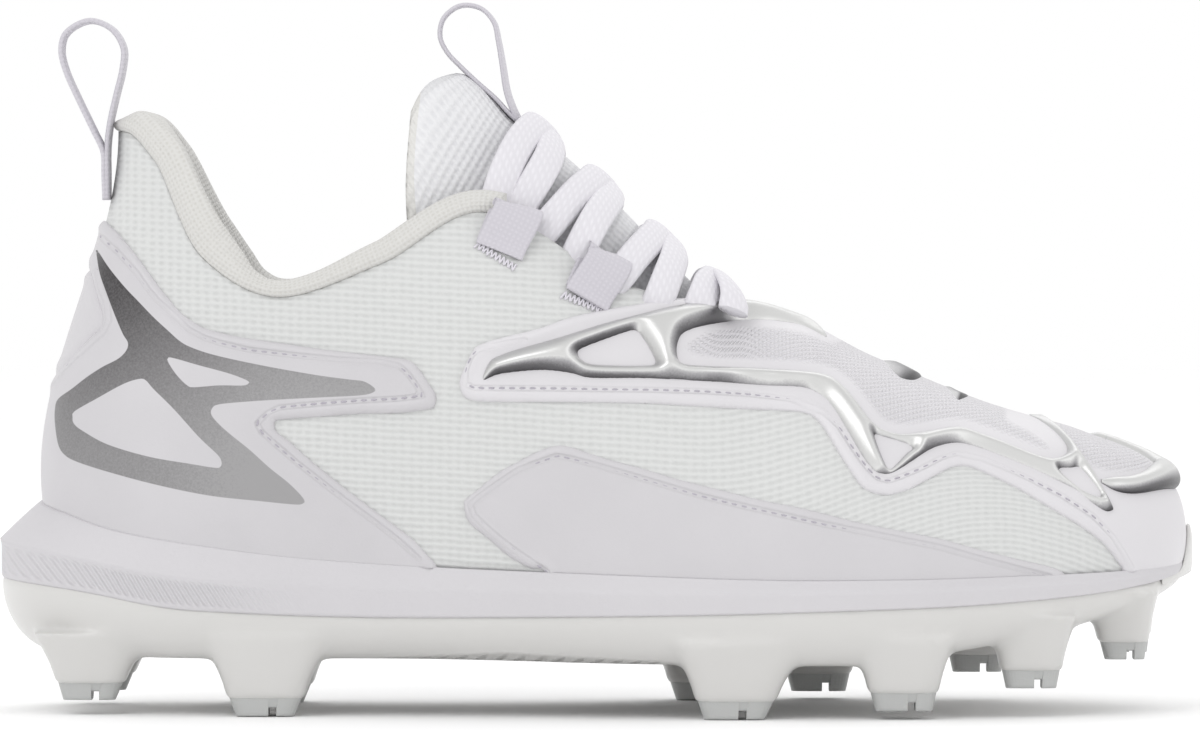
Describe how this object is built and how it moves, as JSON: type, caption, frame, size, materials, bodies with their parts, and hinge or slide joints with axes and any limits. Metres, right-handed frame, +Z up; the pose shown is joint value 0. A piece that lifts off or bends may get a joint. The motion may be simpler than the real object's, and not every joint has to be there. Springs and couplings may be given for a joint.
{
  "type": "baseball cleat",
  "caption": "Low white moulded baseball cleat for the right foot, empty, with studded sole, padded collar, webbing pull loops and raised silver frame.",
  "frame": {"origin": "on the floor, below the middle of the shoe's box", "axes": "+X from heel to toe, +Y to the inner (big-toe) side, +Z up"},
  "size_m": [0.2456, 0.0889, 0.1444],
  "materials": {
    "knit": "matte",
    "board": "matte",
    "midsole_foam": "matte",
    "outsole_plastic": "gloss",
    "stud_rubber": "satin",
    "overlay_film": "satin",
    "silver_frame": "satin",
    "collar_lining": "matte",
    "webbing": "matte",
    "lace": "matte"
  },
  "bodies": {
    "root": {"upper": "knit", "insole": "board", "midsole": "midsole_foam", "outsole": "outsole_plastic", "stud_tip_heel_rear_outer": "stud_rubber", "stud_tip_heel_front_outer": "stud_rubber", "stud_tip_ball_rear_outer": "stud_rubber", "stud_tip_ball_middle_outer": "stud_rubber", "stud_tip_ball_front_outer": "stud_rubber", "stud_tip_toe_outer": "stud_rubber", "stud_tip_heel_rear_inner": "stud_rubber", "stud_tip_heel_front_inner": "stud_rubber", "stud_tip_ball_rear_inner": "stud_rubber", "stud_tip_ball_middle_inner": "stud_rubber", "stud_tip_ball_front_inner": "stud_rubber", "stud_tip_toe_inner": "stud_rubber", "tongue": "knit", "heel_counter": "overlay_film", "heel_back_tab": "overlay_film", "toe_overlay": "overlay_film", "side_wrap_outer": "overlay_film", "side_wrap_inner": "overlay_film", "silver_frame_outer": "silver_frame", "silver_frame_inner": "silver_frame", "silver_fin_outer": "silver_frame", "silver_fin_inner": "silver_frame", "silver_horseshoe": "silver_frame", "toe_rand": "outsole_plastic", "collar_lining": "collar_lining", "heel_pull_loop": "webbing", "tongue_pull_loop": "webbing", "lace_loop_upper_outer": "webbing", "lace_loop_lower_outer": "webbing", "lace_loop_upper_inner": "webbing", "lace_loop_lower_inner": "webbing", "lace_crossing_1": "lace", "lace_crossing_2": "lace", "lace_crossing_3": "lace", "lace_crossing_4": "lace"}
  },
  "joints": []
}
